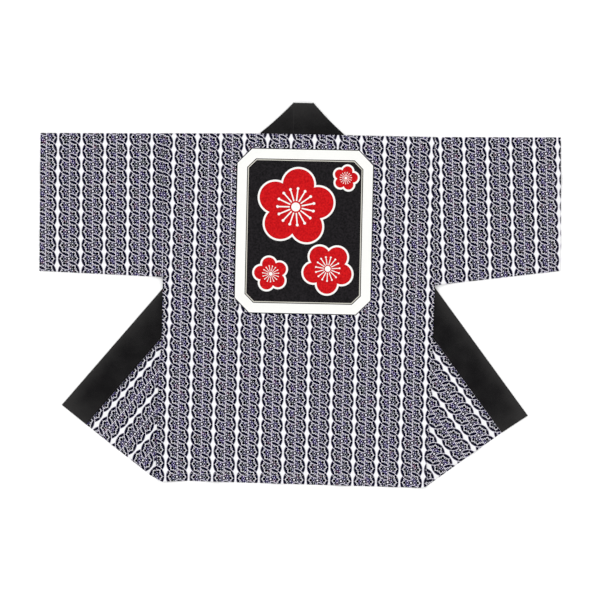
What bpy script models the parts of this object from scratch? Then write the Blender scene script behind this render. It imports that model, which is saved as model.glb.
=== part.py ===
"""A happi coat laid out flat, face down, with its back up and both fronts folded outwards.

Metres, +Z up.  X runs across the coat and Y up it, from the hem to the neck, and the coat rests
on the plane Z = 0.  The tables give places from the middle of the neck seam; the finished coat is
then moved so that the origin lies under the middle of its outline.

From the table up, each half is: the folded-out part of the front with its band, the rest of that
front, and the back.  The collar is one doubled strip: it runs up a folded-out front, turns over
at the front's fold, runs up under the back, turns over again at a mitred crease beside the neck,
stands above the neck seam, and goes down the other side in the same way.
"""

import math

import bmesh
import bpy
from mathutils import Vector

# Cloth.
CLOTH = 0.0012  # one layer of the printed cotton
BAND = 0.0020  # the collar band, doubled
LAYER_GAP = 0.0004  # between layers that lie on each other
SEAM_GAP = 0.0003  # between pieces sewn edge to edge
TURN = math.pi * 0.001  # cloth taken up by the front's fold
TURN_STEPS = 4  # facets round a fold

# Corners of each half, as (across, up) from the middle of the neck seam.
HALVES = {
    "left": {
        "neck": (-0.0946, 0.0019),
        "crease_top": (-0.0185, 0.0719),
        "armhole_top": (-0.3180, 0.0024),
        "underarm": (-0.3180, -0.3259),
        "cuff_top": (-0.5975, 0.0033),
        "cuff_bottom": (-0.6003, -0.3117),
        "fold_at_neck": (-0.0158, 0.0000),
        "fold_at_hem": (-0.3190, -0.7935),
        "front_edge": (-0.3175, -0.3508),
        "front_corner": (-0.5490, -0.6180),
        "band_at_hem": (-0.4933, -0.6630),
        "hem_middle": (-0.3466, -0.7790),
    },
    "right": {
        "neck": (0.0946, -0.0019),
        "crease_top": (0.0261, 0.0710),
        "armhole_top": (0.3031, -0.0062),
        "underarm": (0.3031, -0.3449),
        "cuff_top": (0.5912, -0.0070),
        "cuff_bottom": (0.5868, -0.3117),
        "fold_at_neck": (0.0341, 0.0000),
        "fold_at_hem": (0.2851, -0.8035),
        "front_edge": (0.3024, -0.3487),
        "front_corner": (0.5158, -0.6426),
        "band_at_hem": (0.4562, -0.6816),
        "hem_middle": (0.3701, -0.7422),
    },
}

# Side edges of the body below the underarms: (up, left across, right across).
SIDE_EDGES = (
    (-0.454, -0.3203, 0.2992),
    (-0.588, -0.3294, 0.2947),
    (-0.670, -0.3317, 0.2901),
    (-0.755, -0.3338, 0.2836),
)
SIDE_ENDS = {"left": (-0.3335, -0.7872), "right": (0.2845, -0.7900)}

# The back's hem between the two folds' ends: (across, up).
HEM = (
    (-0.2585, -0.7917),
    (-0.0459, -0.7984),
    (0.0592, -0.8014),
    (0.2709, -0.8076),
    (0.2787, -0.8060),
)

# How cloth climbs onto the layers under it: (share of the way, share of the climb).
CLIMB = ((0.00, 0.00), (0.25, 0.15), (0.50, 0.50), (0.75, 0.85), (1.00, 1.00))

# Where each climb starts and ends, measured across the line that it follows.
TO_FRONT_EDGE = (-0.045, -0.003)  # onto the folded-out front, from outside its free edge
TO_BAND = (0.114, 0.074)  # from that front's printed cloth onto its thicker band
TO_BAND_ABOVE = (-0.027, -0.003)  # onto the band that runs up under the back
TO_FOLD = (0.054, 0.006)  # from the middle of the back onto a folded front

# Grids.
SLEEVE_LENGTHWAYS = (0.0, 0.04, 0.08, 0.12, 0.17, 0.25, 0.5, 1.0)
SLEEVE_AROUND = (0.0, 0.4, 0.75, 0.82, 0.87, 0.91, 0.95, 0.98, 1.0)
BAND_COLUMNS = 7
BAND_ROWS_UNDER_BACK = 12
BAND_ROWS_AT_NECK = 8

PRINTED_COTTON = {"colour": (0.19, 0.18, 0.27, 1.0), "roughness": 0.85}
BLACK_COTTON = {"colour": (0.014, 0.014, 0.016, 1.0), "roughness": 0.8}


class Line:
    """A straight line on the table. Distances across it are positive on the side of a point."""

    def __init__(self, start, end, inside):
        self.start = Vector(start)
        self.along = (Vector(end) - self.start).normalized()
        self.across = Vector((-self.along.y, self.along.x))
        if self.distance(Vector(inside)) < 0.0:
            self.across = -self.across

    def distance(self, point):
        return (point - self.start).dot(self.across)

    def foot(self, point):
        return point - self.across * self.distance(point)

    def shifted(self, offset):
        start = self.start + self.across * offset
        return Line(start, start + self.along, start + self.across)

    def meet(self, other):
        rate = self.along.dot(other.across)
        return self.start - self.along * (other.distance(self.start) / rate)


def climbed(span, distance):
    """The share of a climb done at this distance, straight between the rows of CLIMB."""
    start, end = span
    way = min(max((distance - start) / (end - start), 0.0), 1.0)
    for (way_0, share_0), (way_1, share_1) in zip(CLIMB, CLIMB[1:]):
        if way <= way_1:
            return share_0 + (share_1 - share_0) * (way - way_0) / (way_1 - way_0)
    return 1.0


def bends(span):
    """The distances at which a climb changes slope."""
    start, end = span
    return [start + (end - start) * way for way, _ in CLIMB]


class Half:
    """One half of the coat: its lines on the table and the heights of its layers."""

    def __init__(self, name):
        corners = {corner: Vector(place) for corner, place in HALVES[name].items()}
        self.name = name
        self.corners = corners
        middle = Vector((0.0, corners["fold_at_hem"].y))
        self.edge = Line(corners["front_corner"], corners["front_edge"], corners["fold_at_hem"])
        self.fold = Line(corners["fold_at_hem"], corners["fold_at_neck"], middle)
        flap_seam = Line(
            corners["band_at_hem"],
            corners["band_at_hem"] + self.edge.along,
            corners["front_corner"],
        )
        self.seam_at_fold = self.fold.meet(flap_seam)
        self.seam = Line(corners["neck"], self.seam_at_fold, middle)
        self.crease = Line(corners["neck"], corners["crease_top"], middle)
        self.flap_seam = flap_seam

    def side_edge(self):
        """The body's side from the underarm down to the end of the fold."""
        column = 1 if self.name == "left" else 2
        rows = [Vector((row[column], row[0])) for row in SIDE_EDGES]
        ends = [Vector(SIDE_ENDS[self.name]), self.corners["fold_at_hem"]]
        return [self.corners["underarm"], *rows, *ends]

    def over_flap(self, point):
        """The height of the underside of what lies on the folded-out front."""
        inside = self.edge.distance(point)
        step = CLOTH + LAYER_GAP + (BAND - CLOTH) * climbed(TO_BAND, inside)
        return step * climbed(TO_FRONT_EDGE, inside)

    def over_front(self, point):
        """The height of the underside of the back, and of the collar above it."""
        layer = CLOTH + (BAND - CLOTH) * climbed(TO_BAND_ABOVE, self.seam.distance(point))
        height = self.over_flap(point) + layer + LAYER_GAP
        return height * climbed(TO_FOLD, self.fold.distance(point))


def flat_sheet(outline):
    """A flat face on the table with this outline, facing up."""
    turned = sum(a.cross(b) for a, b in zip(outline, outline[1:] + outline[:1]))
    ordered = outline if turned > 0.0 else outline[::-1]
    sheet = bmesh.new()
    sheet.faces.new([sheet.verts.new((point.x, point.y, 0.0)) for point in ordered])
    return sheet


def score(sheet, line, offsets, wanted):
    """Cuts the wanted faces of a sheet along lines beside this one, where it will bend."""
    for offset in offsets:
        start = line.shifted(offset).start
        faces = [face for face in sheet.faces if wanted(face.calc_center_median().xy)]
        edges = {edge for face in faces for edge in face.edges}
        corners = {vert for face in faces for vert in face.verts}
        bmesh.ops.bisect_plane(
            sheet,
            geom=[*corners, *edges, *faces],
            dist=1e-6,
            plane_co=(start.x, start.y, 0.0),
            plane_no=(line.across.x, line.across.y, 0.0),
        )


def everywhere(_point):
    return True


def cotton(name, look):
    material = bpy.data.materials.new(name)
    material.use_nodes = True
    shader = material.node_tree.nodes["Principled BSDF"]
    shader.inputs["Base Color"].default_value = look["colour"]
    shader.inputs["Roughness"].default_value = look["roughness"]
    return material


def add_object(name, points, faces, look):
    """A closed wall from its points and faces, as one named object."""
    mesh = bpy.data.meshes.new(name)
    mesh.from_pydata(points, [], faces)
    mesh.validate()
    mesh.materials.append(cotton(name, look))
    made = bpy.data.objects.new(name, mesh)
    bpy.context.collection.objects.link(made)
    return made


def sheet_wall(name, sheet, place):
    """Gives a flat sheet its two faces, by place(point, side), and closes its edges."""
    bmesh.ops.triangulate(sheet, faces=sheet.faces[:])
    sheet.verts.index_update()
    count = len(sheet.verts)
    points = [place(vert.co.xy, side) for side in (0.5, -0.5) for vert in sheet.verts]
    faces = []
    for face in sheet.faces:
        corners = [vert.index for vert in face.verts]
        faces.append(corners)
        faces.append([corner + count for corner in reversed(corners)])
    for edge in sheet.edges:
        if edge.is_boundary:
            first = edge.link_loops[0].vert.index
            second = edge.link_loops[0].link_loop_next.vert.index
            faces.append([second, first, first + count, second + count])
    sheet.free()
    return add_object(name, points, faces, PRINTED_COTTON)


def back(halves):
    """The back: one width of cloth, over both fronts, down on the table between their folds."""
    left, right = halves
    outline = [left.corners["neck"], left.corners["armhole_top"], *left.side_edge()]
    outline += [Vector(place) for place in HEM]
    outline += [*reversed(right.side_edge()), right.corners["armhole_top"], right.corners["neck"]]
    sheet = flat_sheet(outline)
    middle = (left.fold.start.x + right.fold.start.x) / 2.0
    score(sheet, Line((middle, 0.0), (middle, 1.0), (1.0, 0.0)), [0.0], everywhere)
    for half in halves:
        def own_half(point, way=half.fold.start.x - middle):
            return (point.x - middle) * way > 0.0

        score(sheet, half.edge, bends(TO_FRONT_EDGE) + bends(TO_BAND), own_half)
        score(sheet, half.fold, bends(TO_FOLD), own_half)
        score(sheet, half.seam, bends(TO_BAND_ABOVE), own_half)

    def place(point, side):
        height = max(half.over_front(point) for half in halves)
        return (point.x, point.y, height + CLOTH * (0.5 + side))

    return sheet_wall("back", sheet, place)


def front(half):
    """A front: its outer part lies under the back, and the rest is folded out below that."""
    fold = half.fold
    corners = half.corners

    def unfolded(point):
        return fold.foot(point) + fold.across * (TURN - fold.distance(point))

    outline = [corners["neck"], corners["armhole_top"], *half.side_edge()]
    outline.append(fold.foot(corners["fold_at_hem"]) + fold.across * TURN)
    outline.append(unfolded(corners["hem_middle"]))
    outline.append(unfolded(corners["band_at_hem"]))
    outline.append(half.seam_at_fold + fold.across * TURN)
    outline.append(half.seam_at_fold)
    sheet = flat_sheet(outline)
    score(sheet, fold, [TURN * step / TURN_STEPS for step in range(TURN_STEPS + 1)], everywhere)

    def outer_part(point):
        return fold.distance(point) < 0.0

    score(sheet, half.edge, bends(TO_FRONT_EDGE) + bends(TO_BAND), outer_part)

    def place(point, side):
        beyond = fold.distance(point)
        if beyond <= 0.0:
            height = half.over_flap(point) + CLOTH * (0.5 + side)
            return (point.x, point.y, height)
        on_fold = fold.foot(point)
        if beyond >= TURN:
            on_table = on_fold - fold.across * (beyond - TURN)
            return (on_table.x, on_table.y, CLOTH * (0.5 - side))
        radius = half.over_flap(on_fold) / 2.0
        angle = math.pi * beyond / TURN
        reach = (radius + CLOTH * side) * math.sin(angle)
        height = CLOTH / 2.0 + radius + (radius + CLOTH * side) * math.cos(angle)
        out = on_fold + fold.across * reach
        return (out.x, out.y, height)

    return sheet_wall(f"front_{half.name}", sheet, place)


def sleeve(half):
    """A sleeve: one piece folded along the top and sewn along the bottom, pressed flat."""
    corners = half.corners
    outward = math.copysign(1.0, corners["cuff_top"].x)
    armhole_shift = Vector((outward * SEAM_GAP, 0.0))
    radius = (CLOTH + LAYER_GAP) / 2.0
    margin = radius + CLOTH / 2.0

    def ring(way):
        """The wall's middle line round one section: place, and the way that it faces."""
        top = (corners["armhole_top"] + armhole_shift).lerp(corners["cuff_top"], way)
        bottom = (corners["underarm"] + armhole_shift).lerp(corners["cuff_bottom"], way)
        down = (bottom - top).normalized()
        rows = [(top + down * margin).lerp(bottom - down * margin, row) for row in SLEEVE_AROUND]
        heights = [half.over_flap(row) + CLOTH / 2.0 for row in rows]
        found = []
        for row, height in zip(rows, heights):
            found.append(((row.x, row.y, height), (0.0, 0.0, -1.0)))
        for end, towards in ((-1, down), (0, -down)):
            centre = rows[end]
            middle = heights[end] + radius
            for step in range(1, TURN_STEPS):
                angle = math.pi * step / TURN_STEPS
                lift = -math.cos(angle) if end == -1 else math.cos(angle)
                reach = towards * math.sin(angle)
                out = centre + reach * radius
                found.append(((out.x, out.y, middle + lift * radius), (reach.x, reach.y, lift)))
            if end == -1:
                for row, height in zip(reversed(rows), reversed(heights)):
                    found.append(((row.x, row.y, height + 2.0 * radius), (0.0, 0.0, 1.0)))
        return found

    sections = [ring(way) for way in SLEEVE_LENGTHWAYS]
    around = len(sections[0])
    points = []
    for side in (0.5, -0.5):
        for section in sections:
            for place, facing in section:
                points.append([at + CLOTH * side * face for at, face in zip(place, facing)])
    inner = len(sections) * around
    last = (len(sections) - 1) * around
    faces = []
    for row in range(len(sections) - 1):
        for column in range(around):
            beside = (column + 1) % around
            a, b = row * around + column, row * around + beside
            c, d = b + around, a + around
            faces.append([a, b, c, d])
            faces.append([inner + corner for corner in (d, c, b, a)])
    for column in range(around):
        beside = (column + 1) % around
        faces.append([beside, column, inner + column, inner + beside])
        faces.append([last + column, last + beside, inner + last + beside, inner + last + column])
    if outward > 0.0:
        faces = [face[::-1] for face in faces]
    return add_object(f"sleeve_{half.name}", points, faces, PRINTED_COTTON)


def collar(halves):
    """The collar: one doubled strip of black cotton, from one front's hem to the other's."""
    up = Vector((0.0, 0.0, 1.0))

    def flat_row(seam, free, underside, facing):
        """One row of places across the strip, lying flat on a given underside."""
        row = []
        for column in range(BAND_COLUMNS + 1):
            point = seam.lerp(free, column / BAND_COLUMNS)
            height = underside(point) + BAND / 2.0
            row.append((Vector((point.x, point.y, height)), up * facing))
        return row

    def turned_rows(seam, free, low, high, outwards, facing):
        """Rows round a fold from its low layer to its high one."""
        rows = []
        for step in range(TURN_STEPS + 1):
            angle = math.pi * step / TURN_STEPS
            row = []
            for column in range(BAND_COLUMNS + 1):
                point = seam.lerp(free, column / BAND_COLUMNS)
                radius = (high(point) - low(point)) / 2.0
                middle = low(point) + radius + BAND / 2.0
                reach = Vector((*(outwards * math.sin(angle)), -math.cos(angle)))
                centre = Vector((point.x, point.y, middle))
                row.append((centre + reach * radius, reach * facing))
            rows.append(row)
        return rows

    def half_rows(half):
        """The strip from a front's hem up to the crease beside the neck."""
        corners = half.corners
        seam = half.seam.shifted(SEAM_GAP)
        seam_hem = corners["band_at_hem"] + half.flap_seam.across * SEAM_GAP
        seam_fold = seam.meet(half.fold)
        free_fold = half.fold.meet(half.edge)
        seam_crease = seam.meet(half.crease)
        free_crease = corners["crease_top"]

        def table(_point):
            return 0.0

        rows = [flat_row(seam_hem, corners["front_corner"], table, 1.0)]
        rows += turned_rows(seam_fold, free_fold, table, half.over_flap, half.fold.across, -1.0)
        for step in range(1, BAND_ROWS_UNDER_BACK):
            way = step / BAND_ROWS_UNDER_BACK
            inner = seam_fold.lerp(seam_crease, way)
            outer = free_fold.lerp(free_crease, way)
            rows.append(flat_row(inner, outer, half.over_flap, -1.0))
        rows += turned_rows(
            seam_crease, free_crease, half.over_flap, neck_height, -half.crease.across, 1.0
        )
        return rows, seam_crease, free_crease

    def neck_height(point):
        return max(half.over_front(point) for half in halves)

    left_rows, left_seam, left_free = half_rows(halves[0])
    right_rows, right_seam, right_free = half_rows(halves[1])
    rows = left_rows
    for step in range(1, BAND_ROWS_AT_NECK):
        way = step / BAND_ROWS_AT_NECK
        inner = left_seam.lerp(right_seam, way)
        outer = left_free.lerp(right_free, way)
        rows.append(flat_row(inner, outer, neck_height, 1.0))
    rows += reversed(right_rows)

    width = BAND_COLUMNS + 1
    under = len(rows) * width
    points = []
    for side in (0.5, -0.5):
        for row in rows:
            points += [place + facing * BAND * side for place, facing in row]
    faces = []
    for row in range(len(rows) - 1):
        for column in range(BAND_COLUMNS):
            a = row * width + column
            b, c, d = a + 1, a + width + 1, a + width
            faces.append([d, c, b, a])
            faces.append([under + corner for corner in (a, b, c, d)])
        first, second = row * width, (row + 1) * width
        faces.append([second, first, under + first, under + second])
        first, second = first + BAND_COLUMNS, second + BAND_COLUMNS
        faces.append([first, second, under + second, under + first])
    last = (len(rows) - 1) * width
    for column in range(BAND_COLUMNS):
        a = last + column
        faces.append([column, column + 1, under + column + 1, under + column])
        faces.append([a + 1, a, under + a, under + a + 1])
    return add_object("collar", points, faces, BLACK_COTTON)


def centre_on_origin(objects):
    """Moves the coat so that the middle of its outline is over the origin."""
    places = [vert.co for made in objects for vert in made.data.vertices]
    for axis in (0, 1):
        middle = (min(p[axis] for p in places) + max(p[axis] for p in places)) / 2.0
        for made in objects:
            made.location[axis] = -middle


for old in list(bpy.data.objects):
    bpy.data.objects.remove(old, do_unlink=True)

both = [Half("left"), Half("right")]
coat = [back(both), collar(both)]
for one in both:
    coat.append(front(one))
    coat.append(sleeve(one))
centre_on_origin(coat)
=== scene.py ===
import math

import bmesh
import bpy
import numpy
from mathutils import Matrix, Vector
from mathutils.bvhtree import BVHTree


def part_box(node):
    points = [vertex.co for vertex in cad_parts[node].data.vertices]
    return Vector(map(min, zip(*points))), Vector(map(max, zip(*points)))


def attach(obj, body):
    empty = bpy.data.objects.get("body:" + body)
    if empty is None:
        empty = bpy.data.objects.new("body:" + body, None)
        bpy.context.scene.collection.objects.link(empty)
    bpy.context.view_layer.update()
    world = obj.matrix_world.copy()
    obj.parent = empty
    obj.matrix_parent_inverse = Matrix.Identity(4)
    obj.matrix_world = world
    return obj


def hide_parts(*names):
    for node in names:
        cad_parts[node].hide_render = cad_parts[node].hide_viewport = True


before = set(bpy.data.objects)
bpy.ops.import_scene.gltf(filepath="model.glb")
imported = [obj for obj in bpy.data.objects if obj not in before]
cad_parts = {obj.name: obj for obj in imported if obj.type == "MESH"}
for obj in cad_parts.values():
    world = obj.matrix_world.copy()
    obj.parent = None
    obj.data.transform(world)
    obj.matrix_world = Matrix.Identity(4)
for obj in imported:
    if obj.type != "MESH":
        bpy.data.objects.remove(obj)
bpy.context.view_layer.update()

# ---------------------------------------------------------------------------
# The back of the coat: one width of printed cotton, cut as a plain rectangle from shoulder to hem.
# It lies on both fronts, which are folded out under it, and its hem is turned up once and sewn.
# The cotton is a plain weave printed with columns of overlapping wheels, in navy on white.

GRID = 0.005  # distance between the cloth's rows of points
SAME_POINT = 1e-6  # points closer than this are one
SHARP_EDGE = math.radians(40)  # beyond this angle an edge of the cloth stays crisp
MILLIMETRES = 1000  # in a metre, because the print is charted in millimetres

# Where the cloth isn't quite flat: soft ridges as (start, end, half width, height), in metres.
SOFT_RIDGES = (
    ((-0.300, 0.052), (-0.196, 0.118), 0.013, 0.0030),
    ((-0.306, 0.036), (-0.150, 0.012), 0.017, 0.0024),
    ((-0.322, 0.066), (-0.430, 0.128), 0.015, 0.0028),
    ((-0.318, 0.092), (-0.352, 0.214), 0.012, 0.0018),
    ((0.300, 0.034), (0.214, 0.106), 0.014, 0.0027),
    ((0.296, 0.012), (0.120, -0.018), 0.019, 0.0022),
    ((0.312, 0.048), (0.404, 0.098), 0.013, 0.0026),
    ((0.316, 0.080), (0.366, 0.196), 0.015, 0.0019),
    ((-0.196, -0.424), (-0.176, -0.268), 0.021, 0.0034),
    ((-0.052, -0.432), (-0.066, -0.330), 0.016, 0.0026),
    ((0.094, -0.436), (0.112, -0.250), 0.024, 0.0031),
    ((0.214, -0.440), (0.206, -0.356), 0.014, 0.0020),
    ((-0.592, 0.284), (-0.486, 0.270), 0.018, 0.0029),
    ((-0.596, 0.132), (-0.528, 0.142), 0.013, 0.0021),
    ((0.594, 0.262), (0.478, 0.238), 0.020, 0.0032),
    ((0.592, 0.124), (0.516, 0.136), 0.012, 0.0018),
    ((-0.126, 0.330), (-0.242, 0.300), 0.018, 0.0017),
    ((0.150, 0.322), (0.262, 0.286), 0.016, 0.0019),
    ((-0.420, -0.336), (-0.356, -0.252), 0.014, 0.0023),
    ((0.402, -0.360), (0.352, -0.270), 0.016, 0.0026),
)
RIDGE_SINKS = 0.55  # the share of its height that a ridge loses towards its end
RIDGE_RUN_OUT = 2  # how far past its ends it dies away, in half widths


def raised(x, y):
    """How far the whole stack of cloth stands up from its flat place at each point."""
    height = numpy.zeros_like(x)
    for start, end, half_width, top in SOFT_RIDGES:
        run = (end[0] - start[0], end[1] - start[1])
        length = math.hypot(*run)
        along = ((x - start[0]) * run[0] + (y - start[1]) * run[1]) / length**2
        across = ((x - start[0]) * run[1] - (y - start[1]) * run[0]) / length
        past_end = numpy.maximum(numpy.maximum(-along, along - 1), 0) * length
        run_out = past_end / (RIDGE_RUN_OUT * half_width)
        fall = numpy.exp(-((across / half_width) ** 2) - run_out**2)
        fade = 1 - RIDGE_SINKS * numpy.clip(along, 0, 1)
        height += top * fade * fall
    return height


def cloth_from(node, name):
    """A shell of cloth on a solid's own form, with enough points to bend softly."""
    cut = bmesh.new()
    cut.from_mesh(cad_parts[node].data)
    bmesh.ops.remove_doubles(cut, verts=cut.verts, dist=SAME_POINT)
    low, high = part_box(node)
    for axis in (0, 1):
        direction = Vector((axis == 0, axis == 1, 0))
        for count in range(math.ceil(low[axis] / GRID), math.floor(high[axis] / GRID) + 1):
            bmesh.ops.bisect_plane(
                cut,
                geom=cut.verts[:] + cut.edges[:] + cut.faces[:],
                dist=SAME_POINT,
                plane_co=direction * count * GRID,
                plane_no=direction,
            )
    bmesh.ops.triangulate(cut, faces=cut.faces[:])
    mesh = bpy.data.meshes.new(name)
    cut.to_mesh(mesh)
    cut.free()
    points = numpy.empty(len(mesh.vertices) * 3)
    mesh.vertices.foreach_get("co", points)
    points = points.reshape(-1, 3)
    points[:, 2] += raised(points[:, 0], points[:, 1])
    mesh.vertices.foreach_set("co", points.ravel())
    mesh.shade_smooth()
    mesh.set_sharp_from_angle(angle=SHARP_EDGE)
    piece = bpy.data.objects.new(name, mesh)
    bpy.context.scene.collection.objects.link(piece)
    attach(piece, "root")
    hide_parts(node)
    return piece


class Shade:
    """A socket in the material being made. Sums and comparisons on it add Math nodes."""

    tree = None

    def __init__(self, socket):
        self.socket = socket

    @classmethod
    def node(cls, kind, settings=None, inputs=None, output=0):
        """A new shader node of this kind, as the socket of one of its outputs."""
        made = cls.tree.nodes.new("ShaderNode" + kind)
        for setting, value in (settings or {}).items():
            setattr(made, setting, value)
        for place, value in (inputs or {}).items():
            if isinstance(value, Shade):
                cls.tree.links.new(value.socket, made.inputs[place])
            else:
                made.inputs[place].default_value = value
        return cls(made.outputs[output])

    def math(self, operation, *others):
        values = dict(enumerate((self,) + others))
        return Shade.node("Math", {"operation": operation}, values)

    def __add__(self, other):
        return self.math("ADD", other)

    def __sub__(self, other):
        return self.math("SUBTRACT", other)

    def __rsub__(self, other):
        return Shade.node("Math", {"operation": "SUBTRACT"}, {0: other, 1: self})

    def __mul__(self, other):
        return self.math("MULTIPLY", other)

    def __truediv__(self, other):
        return self.math("DIVIDE", other)

    def __lt__(self, other):
        return self.math("LESS_THAN", other)

    def __gt__(self, other):
        return self.math("GREATER_THAN", other)

    def __abs__(self):
        return self.math("ABSOLUTE")

    __radd__ = __add__
    __rmul__ = __mul__

    def upto(self, other):
        return self.math("MINIMUM", other)

    def atleast(self, other):
        return self.math("MAXIMUM", other)

    def distance_with(self, other):
        return (self * self + other * other).math("SQRT")


LIT = 1.13  # the light shows a cloth this much brighter than its dye


def dye(red, green, blue):
    """The linear colour of a dye that shows as this screen colour, 0 to 255, under the light."""
    linear = [((c / 255 + 0.055) / 1.055) ** 2.4 if c > 10 else c / 3295 for c in (red, green, blue)]
    return (*(c / LIT for c in linear), 1.0)


def laid_over(mask, below, above):
    """The colour above where the mask is 1, and the colour below where it is 0."""
    settings = {"data_type": "RGBA"}
    return Shade.node("Mix", settings, {0: mask, 6: below, 7: above}, output=2)


# One repeat of the print, in millimetres on the cloth.
ACROSS = 53.5  # from one column of wheels to the next
ALONG = 30.3  # from one wheel to the next down a column
WHEEL = 26.0  # a wheel's radius, out to its pale outline
RIM = 24.7  # where the outline starts
DARK_RIM = 20.4  # where the dark band inside the outline starts
PETALS = 8
NAVY_FROM = 19.2  # where the dark ground between the petals starts
HUB = 2.1  # the white dot in a wheel's middle
HUB_RING = 5.4  # the dark disc round it
LACE_RING = 7.2  # the lace round the hub: two rings of beads, pale and dark by turns
PALE_BEAD = 0.50  # above this height of the lace's wave it is pale
DARK_BEAD = -0.30  # and below this one dark
DOT_AT = 15.2  # the large dot in each petal
DOT = 3.3
PETAL = 5.0  # a petal's radius round its dot
POINT = 4.0  # half width of the widest part of a petal's point
PETAL_EDGE = 1.0  # a dark line round each petal
GAP_BEAD_AT = 17.9  # a pale bead in each gap between two petals
GAP_BEAD = 1.1
PETAL_FROM = 14.0  # a petal is open towards the hub
PETAL_TIP = 21.8
PETAL_SLOPE = 0.85  # how sharply a petal comes to its point
SPIKE = 0.22  # half width of the fine point that crosses the dark band
SPINE = 0.8  # half width of the line down a column's middle
PETAL_TINT = 0.16  # the share of the wheel's tint that a petal takes
TINT_PATCHES = {"Scale": 58.0, "Detail": 2.0}
ROSE_PATCHES = {"Scale": 96.0, "Detail": 1.0}

WHITE_GROUND = dye(250, 250, 251)
PALE_LINE = dye(222, 218, 232)
NAVY = dye(12, 9, 32)
BLACK_DOT = dye(2, 1, 8)
PETAL_WHITE = dye(242, 240, 248)
LACE_DARK = dye(13, 10, 33)
LACE_PALE = dye(244, 240, 250)
FILL_VIOLET = dye(62, 48, 118)
FILL_GREY = dye(60, 70, 72)
FILL_ROSE = dye(118, 62, 84)


def on_cloth(place, turn, skew=0.0, pulled=1.0):
    """Distances in millimetres across and down the print, from a wheel's centre at place.

    pulled is how much longer than it was printed the cloth lies, down its columns.
    """
    point = Shade.node("TexCoord", output="Object")
    x, y = (Shade.node("SeparateXYZ", None, {0: point}, output=axis) for axis in (0, 1))
    x = (x - place[0]) * MILLIMETRES
    y = (y - place[1]) * MILLIMETRES
    columns = math.radians(turn)
    rows = math.radians(turn + skew)
    across = x * math.cos(columns) + y * math.sin(columns)
    down = x * math.sin(rows) - y * math.cos(rows)
    return across, down / pulled if pulled != 1 else down


def wheels(across, down, _threads):
    """The print: in each column every wheel lies over one neighbour and under the other."""
    # Which wheel lies on top here, and where in it this point is.
    part = ((across / ACROSS + 0.5).math("FRACT") - 0.5) * ACROSS
    side = part.math("SIGN")
    aside = abs(part)
    reach = (WHEEL**2 - aside * aside).atleast(0).math("SQRT")
    below_edge = ((down * side + reach) / ALONG).math("FRACT") * ALONG
    level = below_edge - reach
    radius = aside.distance_with(level)
    angle = level.math("ARCTAN2", aside)
    petal_turn = 2 * math.pi / PETALS
    off_petal = ((angle / petal_turn + 0.5).math("FRACT") - 0.5) * petal_turn
    out = radius * off_petal.math("COSINE")
    off = abs(radius * off_petal.math("SINE"))

    # The tint between the lines: violet, grey in places and rosy in a few.
    drift = Shade.node("TexCoord", output="Object")
    tint = Shade.node("TexNoise", None, {"Vector": drift, **TINT_PATCHES})
    rosy = Shade.node("TexNoise", None, {"Vector": drift, **ROSE_PATCHES})
    cast = laid_over((tint * 4.0 - 1.5).atleast(0).upto(1), FILL_VIOLET, FILL_GREY)
    cast = laid_over((rosy * 5.0 - 2.9).atleast(0).upto(0.8), cast, FILL_ROSE)

    # The lace round the hub, then the petals on their dark ground.
    rings = (radius * (-2 * math.pi / LACE_RING)).math("SINE")
    lace = rings * (off_petal * PETALS).math("COSINE") * (radius < PETAL_FROM)
    colour = laid_over(lace > PALE_BEAD, cast, LACE_PALE)
    colour = laid_over(lace < DARK_BEAD, colour, LACE_DARK)
    colour = laid_over(radius > NAVY_FROM, colour, NAVY)
    from_dot = (out - DOT_AT).distance_with(off)
    point = (off < (PETAL_TIP - out) * PETAL_SLOPE) * (off < POINT)
    petal = (from_dot < PETAL).atleast(point) * (out > PETAL_FROM)
    colour = laid_over((from_dot < PETAL + PETAL_EDGE) * (out > PETAL_FROM), colour, NAVY)
    colour = laid_over(petal, colour, laid_over(PETAL_TINT, PETAL_WHITE, cast))

    # The beads between the petals, the dark band, the dots, the hub and the pale outline.
    off_gap = petal_turn / 2 - abs(off_petal)
    bead_out = radius * off_gap.math("COSINE") - GAP_BEAD_AT
    bead_off = radius * off_gap.math("SINE")
    colour = laid_over(bead_out.distance_with(bead_off) < GAP_BEAD, colour, LACE_PALE)
    colour = laid_over(radius > DARK_RIM, colour, NAVY)
    colour = laid_over((off < SPIKE) * (out > DOT_AT), colour, PETAL_WHITE)
    colour = laid_over(from_dot < DOT, colour, BLACK_DOT)
    colour = laid_over(radius < HUB_RING, colour, NAVY)
    colour = laid_over(radius < HUB, colour, PETAL_WHITE)
    colour = laid_over(radius > RIM, colour, PALE_LINE)

    # The line down the column's middle, and the white ground outside the wheels.
    spine = (aside < SPINE) * (below_edge < 2 * WHEEL - ALONG)
    colour = laid_over(spine, colour, PALE_LINE)
    return laid_over(below_edge < 2 * reach, WHITE_GROUND, colour)


THREAD = 0.55  # millimetres from one thread of the plain weave to the next
ROW_GROOVE = 1.6  # how far from a row of stitches the cloth is drawn down
HEM_STEP = 2.5  # over how far the turned hem's doubled cloth rises
SLUBS = {"Scale": 420.0, "Detail": 3.0}  # thick places in the yarn
RUMPLING = {"Scale": 22.0, "Detail": 2.0}
UNEVEN_PULL = {"Scale": 130.0, "Detail": 1.0}  # of the stitches on the cloth
GRAIN_RELIEF = {"Strength": 0.5, "Distance": 0.00012}
RUMPLED_RELIEF = {"Strength": 0.5, "Distance": 0.0016}
HEM_RELIEF = {"Strength": 0.7, "Distance": 0.0004}
LEAST_PULL = 0.4
WORN_PATCHES = {"Scale": 260.0, "Detail": 2.0}
SMOOTHEST = 0.80  # the cotton's roughness runs from this
ROUGHER = 0.16  # to this much more


def plain_weave(across, down):
    """How high the threads of a plain weave stand, from -1 to 1."""
    turns = 2 * math.pi / THREAD
    return (across * turns).math("SINE") * (down * turns).math("SINE")


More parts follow.
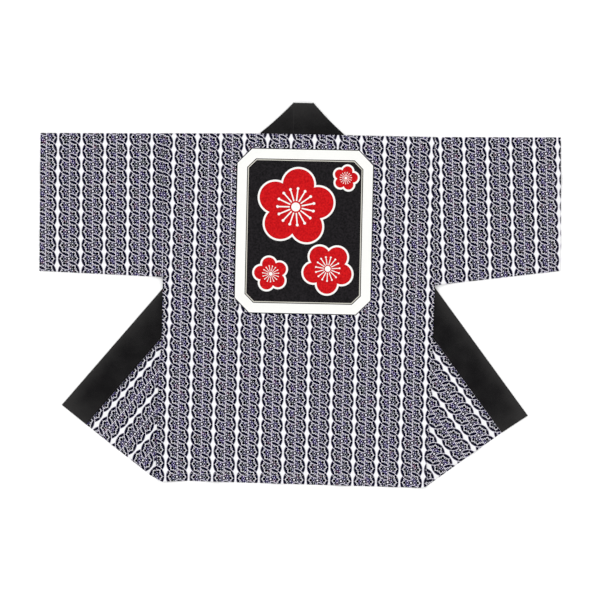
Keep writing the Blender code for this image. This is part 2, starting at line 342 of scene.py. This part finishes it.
def relief(threads, row):
    """The cloth's surface: threads and slubs, faint rumpling, and a turned hem along its row."""
    place = Shade.node("TexCoord", output="Object")
    slubs = Shade.node("TexNoise", None, {"Vector": place, **SLUBS})
    rumple = Shade.node("TexNoise", None, {"Vector": place, **RUMPLING})
    grain = Shade.node("Bump", None, {**GRAIN_RELIEF, "Height": threads + slubs})
    surface = Shade.node("Bump", None, {**RUMPLED_RELIEF, "Height": rumple, "Normal": grain})
    if row is None:
        return surface
    (start_x, start_y), (end_x, end_y) = row
    lean = math.degrees(math.atan2(end_y - start_y, end_x - start_x))
    _, past_row = on_cloth((start_x, start_y), lean)
    groove = (1 - abs(past_row) / ROW_GROOVE).atleast(0)
    pull = Shade.node("TexNoise", None, {"Vector": place, **UNEVEN_PULL})
    doubled = (past_row / HEM_STEP + 0.5).atleast(0).upto(1)
    height = doubled - groove * (pull + LEAST_PULL)
    return Shade.node("Bump", None, {**HEM_RELIEF, "Height": height, "Normal": surface})


def cotton_cloth(name, colour_of, place, turn, skew=0.0, pulled=1.0, row=None):
    """Matt cotton: its colour from the print, its grain from the weave."""
    cloth = bpy.data.materials.new(name)
    cloth.use_nodes = True
    Shade.tree = cloth.node_tree
    shader = cloth.node_tree.nodes["Principled BSDF"]
    across, down = on_cloth(place, turn, skew, pulled)
    threads = plain_weave(across, down)
    point = Shade.node("TexCoord", output="Object")
    wear = Shade.node("TexNoise", None, {"Vector": point, **WORN_PATCHES})
    feeds = {
        "Base Color": colour_of(across, down, threads),
        "Roughness": wear * ROUGHER + SMOOTHEST,
        "Normal": relief(threads, row),
    }
    for socket, value in feeds.items():
        cloth.node_tree.links.new(value.socket, shader.inputs[socket])
    shader.inputs["Specular IOR Level"].default_value = 0.08
    shader.inputs["Sheen Weight"].default_value = 0.03
    shader.inputs["Sheen Roughness"].default_value = 0.5
    return cloth


# A row of running stitches: short dashes of cotton thread that sink into the cloth at both ends.
STITCH = 0.0032
STITCH_GAP = 0.0022
THREAD_WIDTH = 0.0007
THREAD_HEIGHT = 0.0005
ABOVE = 0.05  # the cloth's height is felt for from this far above it
PLIES = {"Scale": 520.0, "Distortion": 1.5}  # how closely the thread's plies are twisted
PLY_RELIEF = {"Strength": 0.3, "Distance": 0.0001}


def cotton_thread(name, colour, ply_groove_shade):
    """Twisted sewing thread, painted a little lighter on the crown of each ply and darker in the
    grooves, as painted shade.
    """
    thread = bpy.data.materials.new(name)
    thread.use_nodes = True
    Shade.tree = thread.node_tree
    shader = thread.node_tree.nodes["Principled BSDF"]
    place = Shade.node("TexCoord", output="Object")
    twist = {"bands_direction": "DIAGONAL"}
    ply = Shade.node("TexWave", twist, {"Vector": place, **PLIES}, output=1)
    feeds = {
        # painted shade: the grooves between the plies take the darker colour
        "Base Color": laid_over(ply, ply_groove_shade, colour),
        "Roughness": ply * 0.15 + 0.7,
        "Normal": Shade.node("Bump", None, {**PLY_RELIEF, "Height": ply}),
    }
    for socket, value in feeds.items():
        thread.node_tree.links.new(value.socket, shader.inputs[socket])
    shader.inputs["Specular IOR Level"].default_value = 0.2
    return thread


def stitches_along(name, piece, row, thread):
    """Dashes of thread along a straight row, each on the cloth that is under it."""
    surface = BVHTree.FromPolygons(
        [v.co for v in piece.data.vertices], [tuple(p.vertices) for p in piece.data.polygons]
    )
    start, end = (Vector((*corner, 0)) for corner in row)
    run = end - start
    direction = run.normalized()
    aside = Vector((-direction.y, direction.x, 0))
    sewing = bmesh.new()
    for count in range(int(run.length / (STITCH + STITCH_GAP))):
        middle = start + direction * (STITCH / 2 + count * (STITCH + STITCH_GAP))
        hit = surface.ray_cast(middle + Vector((0, 0, ABOVE)), Vector((0, 0, -1)))[0]
        if hit is None:
            continue
        for point in bmesh.ops.create_icosphere(sewing, subdivisions=2, radius=0.5)["verts"]:
            length, width, height = point.co
            point.co = hit + direction * length * STITCH + aside * width * THREAD_WIDTH
            point.co.z += height * THREAD_HEIGHT
    mesh = bpy.data.meshes.new(name)
    sewing.to_mesh(mesh)
    sewing.free()
    mesh.shade_smooth()
    mesh.materials.append(thread)
    sewn = bpy.data.objects.new(name, mesh)
    bpy.context.scene.collection.objects.link(sewn)
    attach(sewn, "root")
    return sewn


# The printed badge: a black panel with cut corners in a wide white border, flat on the back.
# It carries plum blossoms in red with white outlines. Sizes in millimetres from its middle.
BADGE_MIDDLE = (0.0088, 0.1448)  # metres
BADGE_TURN = -1.2
BADGE_HALF = (156.7, 189.0)
CUT_CORNER = 34.0
FINE_LINE = 2.0  # the black line round the border, and again inside it
WHITE_BORDER = 24.0
LIGHT_LINE = 1.9
OUTLINE = 4.4  # round each blossom
BLOSSOMS = (  # across, up, radius of the whole flower, turn in degrees
    (-20, 56, 92, 12),
    (56, -84, 60, -20),
    (-74, -98, 40, 30),
    (93, 124, 29, 5),
)
# Parts of a blossom, as shares of its radius.
PETAL_MIDDLE = 0.56
PETAL_ROUND = 0.39
HEART = 0.30  # the red that joins the petals
STAMEN_FROM = 0.15
STAMEN_TO = 0.36
STAMEN_ARCH = 0.10  # how much further it reaches along a petal's middle
STAMEN = 0.0165  # half its width
STAMEN_TIP = 0.034
EYE = 0.11
INK_SPECKS = {"Scale": 240.0, "Detail": 4.0}
BADGE_BLACK = dye(16, 15, 17)
BADGE_WORN = dye(38, 35, 38)
BADGE_WHITE = dye(254, 254, 251)
BADGE_RED = dye(184, 8, 18)
BADGE_BRIGHT_RED = dye(222, 24, 28)
BADGE_LIGHT = dye(222, 219, 208)


def blossom(colour, red, across, up, size, turn):
    """A five-petalled plum blossom with a white outline, fifteen stamens and an eye."""
    radius = across.distance_with(up)
    fifth = 2 * math.pi / 5
    angle = up.math("ARCTAN2", across) - math.radians(turn)
    off_petal = ((angle / fifth + 0.5).math("FRACT") - 0.5) * fifth
    out = radius * off_petal.math("COSINE")
    off = abs(radius * off_petal.math("SINE"))
    edge = (out - size * PETAL_MIDDLE).distance_with(off) - size * PETAL_ROUND
    colour = laid_over(edge < OUTLINE, colour, BADGE_WHITE)
    colour = laid_over((edge < 0).atleast(radius < size * HEART), colour, red)
    stamen_turn = fifth / 3
    off_stamen = ((angle / stamen_turn + 0.5).math("FRACT") - 0.5) * stamen_turn
    length = size * STAMEN_TO + off_petal.math("COSINE") * size * STAMEN_ARCH
    along = radius * off_stamen.math("COSINE")
    aside = abs(radius * off_stamen.math("SINE"))
    stamen = (aside < size * STAMEN) * (along > size * STAMEN_FROM) * (along < length)
    colour = laid_over(stamen, colour, BADGE_WHITE)
    tip = (along - length).distance_with(aside) < size * STAMEN_TIP
    colour = laid_over(tip, colour, BADGE_WHITE)
    return laid_over(radius < size * EYE, colour, BADGE_WHITE)


def print_with_badge(across, down, threads):
    """The wheels, with the badge printed over them."""
    colour = wheels(across, down, threads)
    x, down_badge = on_cloth(BADGE_MIDDLE, BADGE_TURN)
    y = down_badge * -1
    half_width, half_height = BADGE_HALF
    corner = (abs(x) + abs(y) - (half_width + half_height - CUT_CORNER)) * math.sqrt(0.5)
    inset = (abs(x) - half_width).atleast(abs(y) - half_height).atleast(corner) * -1
    place = Shade.node("TexCoord", output="Object")
    specks = Shade.node("TexNoise", None, {"Vector": place, **INK_SPECKS})
    ink = (specks * 3.0 - 1.0).atleast(0).upto(1)
    red = laid_over(ink, BADGE_RED, BADGE_BRIGHT_RED)
    panel = laid_over(ink, BADGE_BLACK, BADGE_WORN)
    for across_middle, up_middle, size, turn in BLOSSOMS:
        panel = blossom(panel, red, x - across_middle, y - up_middle, size, turn)
    inner = WHITE_BORDER + FINE_LINE
    colour = laid_over(inset > 0, colour, BADGE_BLACK)
    colour = laid_over(inset > FINE_LINE, colour, BADGE_WHITE)
    colour = laid_over(inset > WHITE_BORDER, colour, BADGE_BLACK)
    colour = laid_over(inset > inner, colour, BADGE_LIGHT)
    return laid_over(inset > inner + LIGHT_LINE, colour, panel)


BACK_WHEEL = (-0.006, -0.1176)  # the centre of one wheel on this piece
BACK_TURN = -1.5
BACK_PULLED = 1.006
HEM_ROW = ((-0.310, -0.4060), (0.286, -0.4190))

back = cloth_from("back", "back_cloth")
back_print = cotton_cloth(
    "back print", print_with_badge, BACK_WHEEL, BACK_TURN, pulled=BACK_PULLED, row=HEM_ROW
)
back.data.materials.append(back_print)
# the second colour is painted shade in the grooves between the thread's plies
white_thread = cotton_thread("white thread", dye(252, 251, 249), dye(226, 224, 224))
hem_sewing = stitches_along("hem_stitches", back, HEM_ROW, white_thread)

# ---------------------------------------------------------------------------
# The two sleeves: each one rectangle of the same cotton, folded along the top and sewn below.
# The straight armhole is sewn to the body, and the cuff is turned in once and left open.

SLEEVES = {
    "left": {
        "wheel": (-0.420, 0.2376),
        "turn": -0.5,
        "skew": 1.0,
        "pulled": 1.014,
        "cut": (0.644, 0.282),  # all round and lengthways
        "cuff_row": ((-0.5755, 0.060), (-0.5730, 0.366)),
    },
    "right": {
        "wheel": (0.4574, 0.1982),
        "turn": 1.3,
        "skew": 0.2,
        "pulled": 1.006,
        "cut": (0.644, 0.288),
        "cuff_row": ((0.5757, 0.356), (0.5753, 0.061)),
    },
}
RIGHT_CUFF_OUT = 0.0047  # how far the right sleeve's lower outer corner is pulled out

for side, sleeve in SLEEVES.items():
    cloth = cloth_from(f"sleeve_{side}", f"sleeve_{side}_cloth")
    if side == "right":
        low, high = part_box("sleeve_right")
        for point in cloth.data.vertices:
            down = (high[1] - point.co.y) / (high[1] - low[1])
            outward = max(point.co.x - low[0], 0) / (high[0] - low[0])
            point.co.x += RIGHT_CUFF_OUT * down * outward
    cloth.data.materials.append(
        cotton_cloth(
            f"{side} sleeve print",
            wheels,
            sleeve["wheel"],
            sleeve["turn"],
            sleeve["skew"],
            sleeve["pulled"],
            row=sleeve["cuff_row"],
        )
    )
    cuff_sewing = stitches_along(
        f"{side}_cuff_stitches", cloth, sleeve["cuff_row"], white_thread
    )

# ---------------------------------------------------------------------------
# The two fronts: printed cotton, joined to the back at shoulder and side and folded outwards.
# Folded out they lie on the bias, so the columns lean and the weave is pulled a little askew.

FRONTS = {
    "left": {
        "wheel": (-0.376, -0.234),
        "turn": -41.0,
        "skew": -3.5,
        "cut": (0.320, 0.800),
        "area": 0.186,
        "hem_row": ((-0.470, -0.286), (-0.345, -0.385)),
    },
    "right": {
        "wheel": (0.355, -0.247),
        "turn": 35.5,
        "skew": 3.0,
        "cut": (0.300, 0.805),
        "area": 0.174,
        "hem_row": ((0.362, -0.358), (0.441, -0.299)),
    },
}

for side, front in FRONTS.items():
    cloth = cloth_from(f"front_{side}", f"front_{side}_cloth")
    cloth.data.materials.append(
        cotton_cloth(
            f"{side} front print",
            wheels,
            front["wheel"],
            front["turn"],
            front["skew"],
            row=front["hem_row"],
        )
    )
    flap_sewing = stitches_along(
        f"{side}_flap_stitches", cloth, front["hem_row"], white_thread
    )

# ---------------------------------------------------------------------------
# The collar band: one straight strip of black cotton, doubled, from hem to nape to hem.
# It is sewn along both fronts and the neck, and stands out flat above the shoulders.

BAND_WIDTH = 80  # millimetres, at its widest
BLACK_DYE = dye(10, 9, 11)
# the paler black: random fading, and the painted sheen on the folds, hem and nape
BLACK_FADED_AND_SHEEN = dye(48, 47, 47)
FINE_FADING = {"Scale": 420.0, "Detail": 4.0}
FADED_PATCHES = {"Scale": 26.0, "Detail": 2.0}
PAINTED_FOLD_SHEEN = 0.8  # how strongly painted sheen lightens an outer fold
# how strongly painted sheen lightens the band near its hem
PAINTED_HEM_SHEEN = 0.7
PAINTED_SHEEN_FOLDS = (  # a corner and a direction, then in millimetres its length and the parts painted with sheen
    {"corner": (-0.5445, -0.2510), "lean": 49.1, "length": 350, "inward": 36, "from_hem": 80},
    {"corner": (0.5203, -0.2756), "lean": 126.0, "length": 360, "inward": 40, "from_hem": 90},
    {"corner": (-0.0140, 0.4389), "lean": -1.2, "length": 150, "inward": 75, "from_hem": 1},
)
NAPE_MIDDLE = 0.0045
NAPE_TOP = 0.4406
SHOULDER = 0.3694
DRAWN_IN = 0.078  # how much narrower the nape's mitred creases pull its top
BAND_ROWS = {
    "left": ((-0.4926, -0.2932), (-0.3206, -0.0948)),
    "right": ((0.4640, -0.3110), (0.3100, -0.1140)),
}


def black_dye_and_sheen(_across, _down, threads):
    """Black, mottled paler at random, with a painted highlight on the raised threads and painted
    sheen along the outer folds, near the hem and at the nape's top.
    """
    place = Shade.node("TexCoord", output="Object")
    fading = Shade.node("TexNoise", None, {"Vector": place, **FINE_FADING})
    patches = Shade.node("TexNoise", None, {"Vector": place, **FADED_PATCHES})
    # the weave's raised threads are painted paler here: a painted highlight on the weave
    shade = fading * 0.6 + patches * 0.7 + threads * 0.30 - 0.45
    for fold in PAINTED_SHEEN_FOLDS:
        inward, along = on_cloth(fold["corner"], fold["lean"] + 90)
        at_fold = (1 - abs(inward) / fold["inward"]).atleast(0) * (along < fold["length"])
        at_hem = (1 - abs(along) / fold["from_hem"]).atleast(0) * (abs(inward) < BAND_WIDTH)
        # painted sheen: the black is painted paler along each outer fold and towards the hem
        shade = shade + at_fold * at_fold * PAINTED_FOLD_SHEEN + at_hem * at_hem * PAINTED_HEM_SHEEN
    return laid_over(shade.atleast(0).upto(1), BLACK_DYE, BLACK_FADED_AND_SHEEN)


band = cloth_from("collar", "collar_band")
for point in band.data.vertices:
    way = max(point.co.y - SHOULDER, 0) / (NAPE_TOP - SHOULDER)
    point.co.x -= (point.co.x - NAPE_MIDDLE) * DRAWN_IN * way * (2 - way)
band.data.materials.append(cotton_cloth("black band", black_dye_and_sheen, (0.0, 0.0), turn=0.0))
# the second colour is painted shade in the grooves between the thread's plies
black_thread = cotton_thread("black thread", dye(40, 39, 42), dye(20, 19, 22))
band_sewing = [
    stitches_along(f"{side}_band_stitches", band, row, black_thread)
    for side, row in BAND_ROWS.items()
]

# ---------------------------------------------------------------------------
# The table: a wide white board under the coat, with even soft light and one weak key light.

BOARD = 14.0  # from the middle of the board to its edge
BOARD_TOP = -0.0002  # just clear of the cloth
BOARD_WHITE = (1.0, 1.0, 1.0, 1.0)
BOARD_GREY = (0.98, 0.98, 0.98, 1.0)
BOARD_GRAIN = {"Scale": 6.0, "Detail": 2.0}
SOFT_LIGHT = 1.0
KEY_LIGHT = 0.70
KEY_SPREAD = math.radians(25)
KEY_TURN = (math.radians(-32), math.radians(-30), 0)
CAMERA_LENS = 120
CAMERA_ABOVE = 4.572
CAMERA_OVER = (-0.00025, -0.01145)

board = bpy.data.meshes.new("floor")
corners = ((-1, -1), (1, -1), (1, 1), (-1, 1))
board.from_pydata([(x * BOARD, y * BOARD, BOARD_TOP) for x, y in corners], [], [(0, 1, 2, 3)])
floor = bpy.data.objects.new("floor", board)
bpy.context.scene.collection.objects.link(floor)
paint = bpy.data.materials.new("white board")
paint.use_nodes = True
Shade.tree = paint.node_tree
grain = Shade.node("TexNoise", None, BOARD_GRAIN)
board_colour = laid_over(grain, BOARD_WHITE, BOARD_GREY)
board_shader = paint.node_tree.nodes["Principled BSDF"]
paint.node_tree.links.new(board_colour.socket, board_shader.inputs["Base Color"])
board_shader.inputs["Roughness"].default_value = 0.9
board_shader.inputs["Specular IOR Level"].default_value = 0.1
floor.data.materials.append(paint)

sky = bpy.data.worlds.new("soft light")
sky.use_nodes = True
sky.node_tree.nodes["Background"].inputs["Color"].default_value = (1, 1, 1, 1)
sky.node_tree.nodes["Background"].inputs["Strength"].default_value = SOFT_LIGHT
bpy.context.scene.world = sky

key = bpy.data.lights.new("key", "SUN")
key.energy = KEY_LIGHT
key.angle = KEY_SPREAD
key_light = bpy.data.objects.new("key", key)
key_light.rotation_euler = KEY_TURN
bpy.context.scene.collection.objects.link(key_light)

lens = bpy.data.cameras.new("camera")
lens.lens = CAMERA_LENS
camera = bpy.data.objects.new("camera", lens)
camera.location = (*CAMERA_OVER, CAMERA_ABOVE)
bpy.context.scene.collection.objects.link(camera)
bpy.context.scene.camera = camera
bpy.context.scene.view_settings.view_transform = "Standard"
